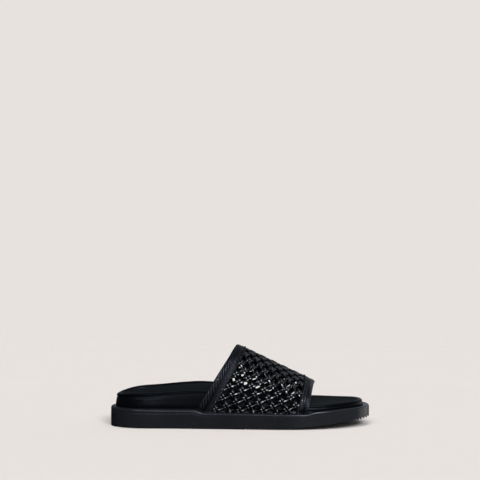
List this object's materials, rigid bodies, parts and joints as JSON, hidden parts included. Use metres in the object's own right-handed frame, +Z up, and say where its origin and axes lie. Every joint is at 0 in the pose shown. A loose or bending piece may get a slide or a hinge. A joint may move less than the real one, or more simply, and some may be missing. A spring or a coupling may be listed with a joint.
{
  "type": "woven slide mule",
  "caption": "Backless open-toed slide mule: thick moulded sole, contoured wrapped footbed and one wide woven leather band over the forefoot.",
  "frame": {"origin": "middle of the object's bounding box, on the floor the sole stands on", "axes": "+X to the toe, +Y to the inner (big toe) side of the right foot, +Z up"},
  "size_m": [0.264, 0.0932, 0.0817],
  "materials": {
    "outsole_rubber": "matte moulded",
    "footbed_leather": "smooth satin",
    "insole_leather": "matte",
    "woven_leather": "polished strips"
  },
  "bodies": {
    "root": {"outsole": "outsole_rubber", "footbed": "footbed_leather", "insole": "insole_leather", "upper": "woven_leather"}
  },
  "joints": []
}
